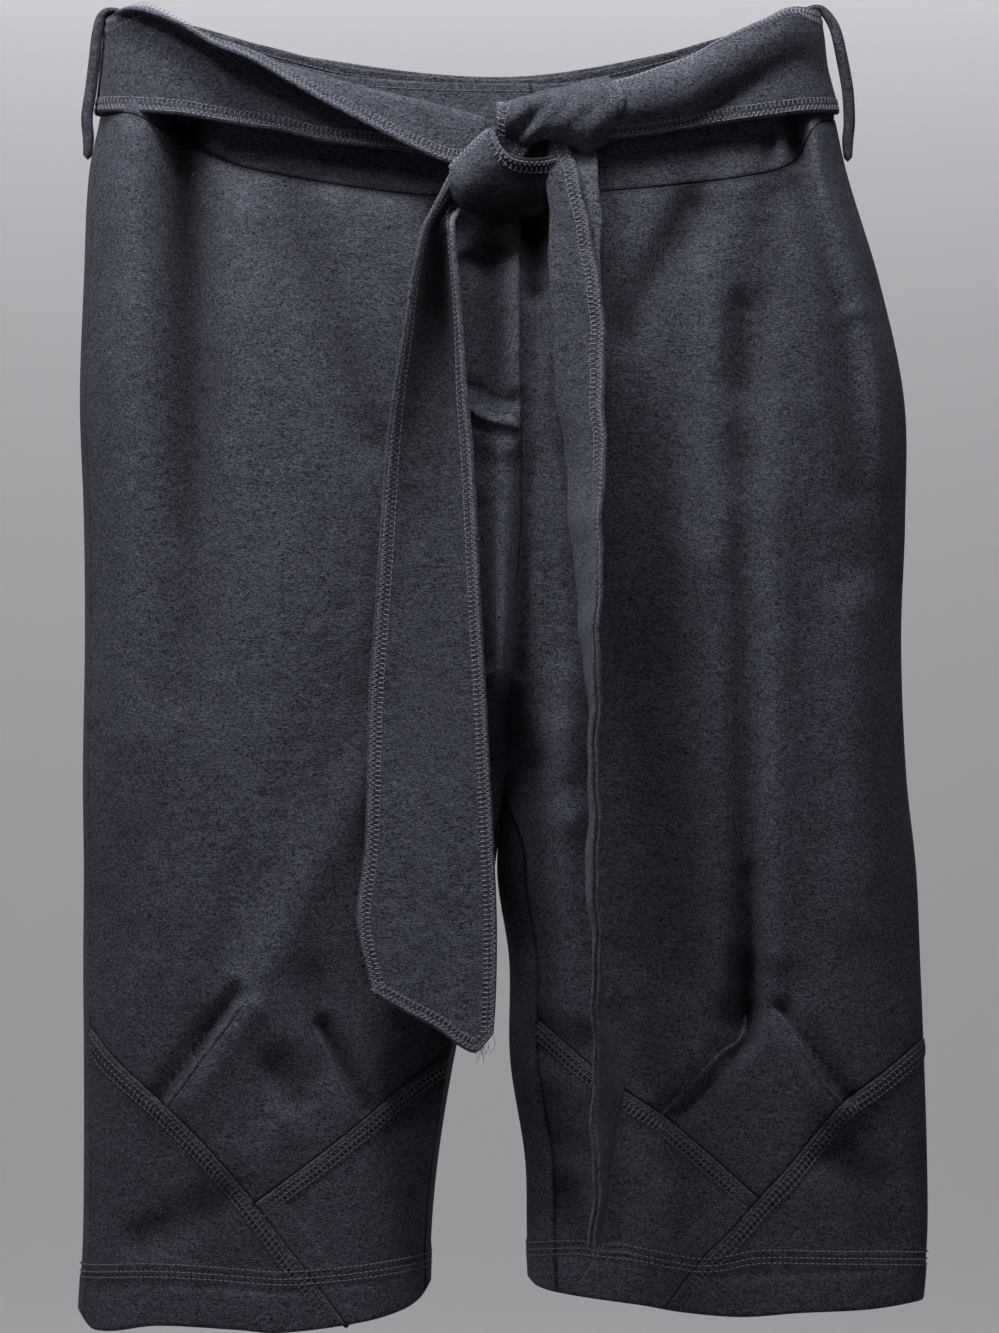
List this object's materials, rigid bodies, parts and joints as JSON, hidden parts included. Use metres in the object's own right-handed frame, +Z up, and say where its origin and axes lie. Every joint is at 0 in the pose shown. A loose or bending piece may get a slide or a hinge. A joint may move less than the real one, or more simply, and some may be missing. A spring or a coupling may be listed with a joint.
{
  "type": "wool shorts",
  "caption": "Knee-length felted wool shorts with V-shaped hem panels, a fly front and a tie belt of the same cloth knotted at the front, hanging by the sides of the waist.",
  "frame": {"origin": "Midway between the two belt loops, level with the top of the waistband at the sides, where the garment is held", "axes": "+Z up, -Y towards the viewer of the front, +X to the viewer's right, which is the wearer's left"},
  "size_m": [0.4248, 0.1221, 0.6667],
  "materials": {
    "wool": "matt felted wool, dark blue charcoal",
    "belt_wool": "matt felted wool with coverstitched edges, dark blue charcoal"
  },
  "bodies": {
    "root": {"back_left_panel": "wool", "back_right_panel": "wool", "back_waistband": "wool", "belt_back": "belt_wool", "belt_knot": "belt_wool", "belt_left": "belt_wool", "belt_left_tail": "belt_wool", "belt_right": "belt_wool", "belt_right_tail": "belt_wool", "front_left_inner_hem": "wool", "front_left_outer_hem": "wool", "front_left_panel": "wool", "front_left_waistband": "wool", "front_right_inner_hem": "wool", "front_right_outer_hem": "wool", "front_right_panel": "wool", "front_right_waistband": "wool", "loop_left": "belt_wool", "loop_right": "belt_wool"}
  },
  "joints": []
}
